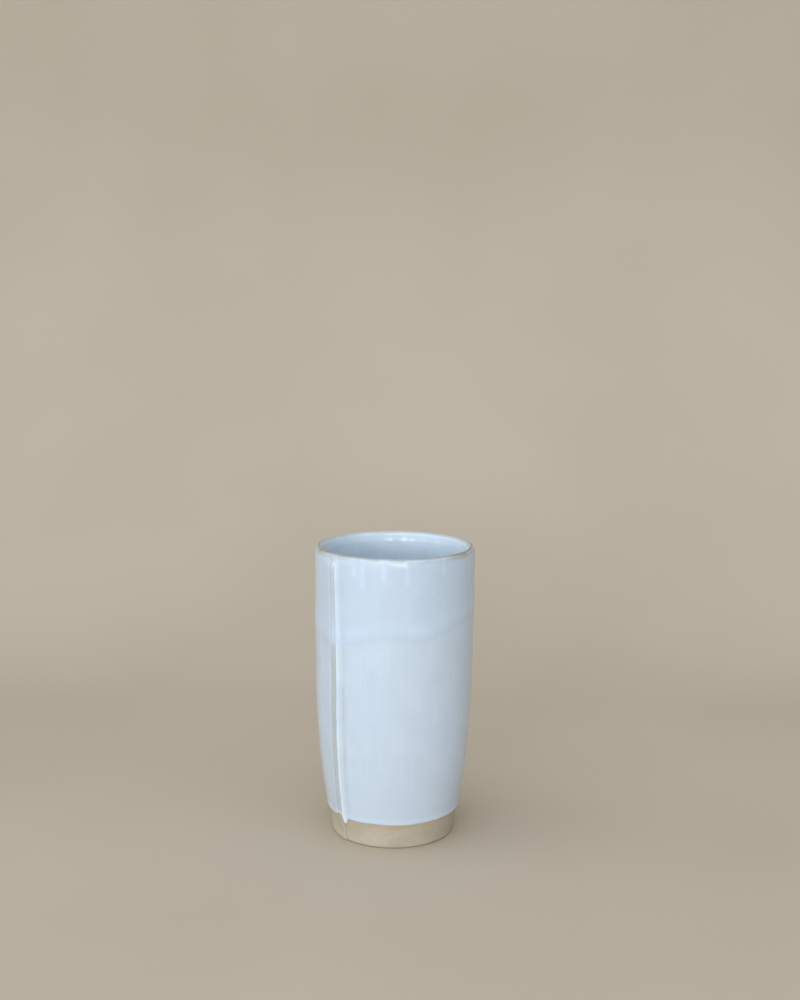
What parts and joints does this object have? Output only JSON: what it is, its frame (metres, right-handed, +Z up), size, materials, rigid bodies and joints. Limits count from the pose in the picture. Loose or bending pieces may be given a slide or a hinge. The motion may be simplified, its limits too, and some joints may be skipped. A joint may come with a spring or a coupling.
{
  "type": "tall ceramic tumbler",
  "caption": "Tall handleless tumbler made of one rolled clay slab with a lapped seam, an inset floor disc, and coats of pale glaze that stop above a bare clay foot.",
  "frame": {"origin": "centre of the foot, on the surface that the tumbler stands on", "axes": "+Z up towards the mouth, -Y towards the viewer, with the lapped seam at the front left"},
  "size_m": [0.0764, 0.0764, 0.14],
  "materials": {
    "bare_clay": "matt, fine sandy stoneware, toasted under the glaze line",
    "clay_slip": "matt fired slip",
    "white_glaze": "glossy bluish white, breaking beige where it is thin",
    "rim_glaze": "glossy, a second coat over the first"
  },
  "bodies": {
    "root": {"wall_slab": "bare_clay", "lap_slip": "clay_slip", "floor_slab": "bare_clay", "floor_slip": "clay_slip", "corner_coil": "bare_clay", "outer_glaze": "white_glaze", "rim_dip_glaze": "rim_glaze", "liner_glaze": "white_glaze"}
  },
  "joints": []
}
